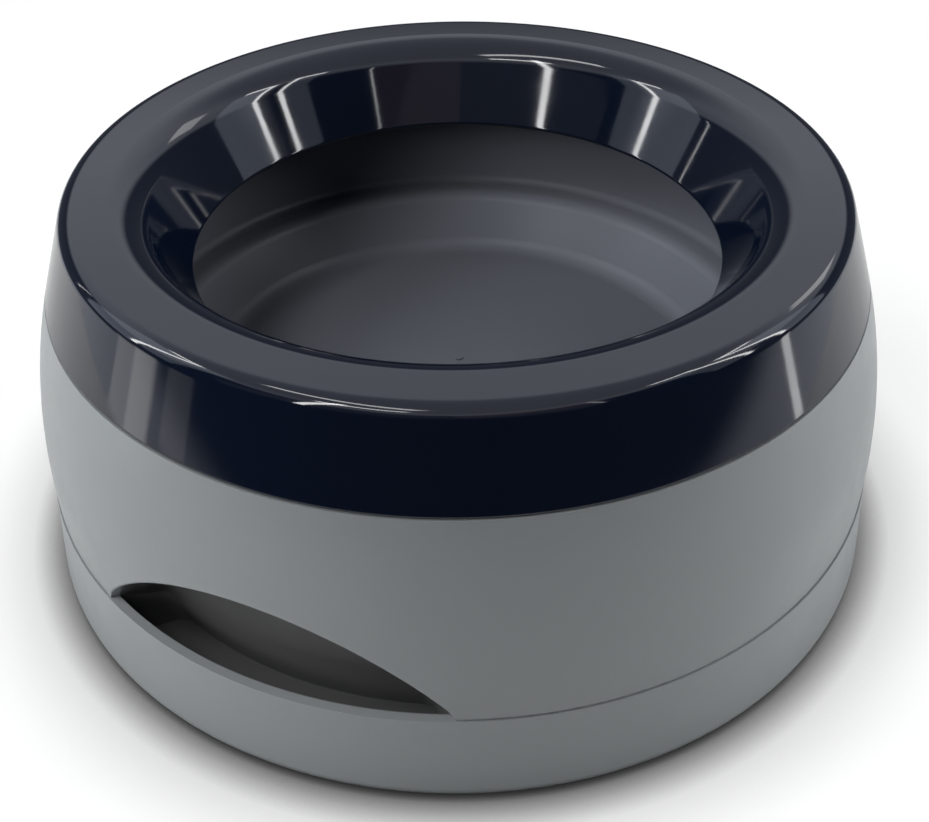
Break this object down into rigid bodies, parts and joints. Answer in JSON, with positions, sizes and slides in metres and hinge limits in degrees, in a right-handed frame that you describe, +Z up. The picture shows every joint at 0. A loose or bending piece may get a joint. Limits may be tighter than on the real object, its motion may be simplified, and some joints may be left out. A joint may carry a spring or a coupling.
{
  "type": "no-spill dog water bowl",
  "caption": "Round barrel-shaped dog water bowl with a screwed-on base, a lift-out inner bowl and a lift-off splash ring whose throat keeps the water in; finger grips front and rear.",
  "frame": {"origin": "on the floor, under the middle of the bowl", "axes": "+Z up along the bowl's axis; -Y towards the front grip; +X to the right for someone who faces the front grip"},
  "size_m": [0.2674, 0.2674, 0.121],
  "materials": {
    "ring_gloss": "high gloss black with a navy tint",
    "bowl_satin": "satin dark grey",
    "shell_grey": "semi-gloss cool light grey",
    "seal_rubber": "soft, matt",
    "foot_rubber": "soft, matt",
    "screw_steel": "zinc plated"
  },
  "bodies": {
    "base": {"body_shell": "shell_grey", "base_tray": "shell_grey", "base_screws": "screw_steel", "front_left_foot": "foot_rubber", "front_right_foot": "foot_rubber", "rear_left_foot": "foot_rubber", "rear_right_foot": "foot_rubber"},
    "bowl": {"water_bowl": "bowl_satin"},
    "ring": {"splash_ring": "ring_gloss", "ring_seal": "seal_rubber"}
  },
  "joints": [
    {"name": "bowl_lift", "type": "slide", "parent": "base", "child": "bowl", "axis": [0, 0, 1], "range_m": [0, 0.09]},
    {"name": "ring_lift", "type": "slide", "parent": "bowl", "child": "ring", "axis": [0, 0, 1], "range_m": [0, 0.06]}
  ]
}
